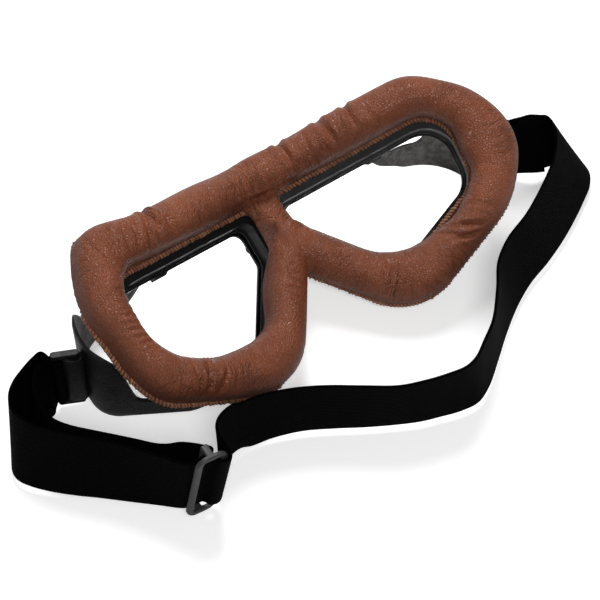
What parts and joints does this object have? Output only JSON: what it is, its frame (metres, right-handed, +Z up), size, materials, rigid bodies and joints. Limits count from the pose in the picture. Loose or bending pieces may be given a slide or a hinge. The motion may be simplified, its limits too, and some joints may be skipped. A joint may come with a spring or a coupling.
{
  "type": "aviator flying goggles",
  "caption": "Aviator goggles with two clear lenses in black rims, a brown leather padding roll and an elastic strap with a slider, lying lens side down.",
  "frame": {"origin": "centre of the bounding box's bottom face, on the surface that the goggles lie on", "axes": "+X along the width towards the loop with the sewn strap end, +Y towards the brow, +Z up"},
  "size_m": [0.2674, 0.1324, 0.0623],
  "materials": {
    "brown_leather": "soft sheen",
    "foam": "matte",
    "black_rubber": "matte",
    "clear_lens": "polished",
    "black_frame": "semi gloss",
    "black_leather": "soft sheen",
    "black_rivets": "semi gloss",
    "black_wire": "gloss",
    "steel_plate": "brushed",
    "elastic_webbing": "matte",
    "slider_plastic": "matte"
  },
  "bodies": {
    "goggles": {"right_padding_cover": "brown_leather", "right_foam_core": "foam", "right_base_leather": "brown_leather", "right_eyecup": "black_rubber", "right_lens_gasket": "black_rubber", "right_lens": "clear_lens", "right_lens_rim": "black_frame", "right_temple_wing": "black_leather", "right_wing_rivets": "black_rivets", "left_padding_cover": "brown_leather", "left_foam_core": "foam", "left_base_leather": "brown_leather", "left_eyecup": "black_rubber", "left_lens_gasket": "black_rubber", "left_lens": "clear_lens", "left_lens_rim": "black_frame", "left_temple_wing": "black_leather", "left_wing_rivets": "black_rivets", "bridge_plate": "steel_plate", "bridge_leather": "black_leather", "bridge_rivets": "black_rivets", "strap_long_run": "elastic_webbing", "strap_outer_layer": "elastic_webbing", "strap_inner_layer": "elastic_webbing"},
    "right_loop": {"right_strap_loop": "black_wire", "strap_sewn_end": "elastic_webbing"},
    "left_loop": {"left_strap_loop": "black_wire", "strap_bight": "elastic_webbing"},
    "slider": {"strap_slider": "slider_plastic", "strap_tail": "elastic_webbing"}
  },
  "joints": [
    {"name": "right_loop_swing", "type": "hinge", "parent": "goggles", "child": "right_loop", "pos_m": [0.10062, 0.02446, 0.0187], "axis": [0, 0, 1], "range_deg": [-12, 12]},
    {"name": "left_loop_swing", "type": "hinge", "parent": "goggles", "child": "left_loop", "pos_m": [-0.09477, 0.02446, 0.0187], "axis": [0, 0, 1], "range_deg": [-12, 12]},
    {"name": "slider_slide", "type": "slide", "parent": "goggles", "child": "slider", "axis": [0.9988, -0.0498, 0], "range_m": [0, 0.004]}
  ]
}
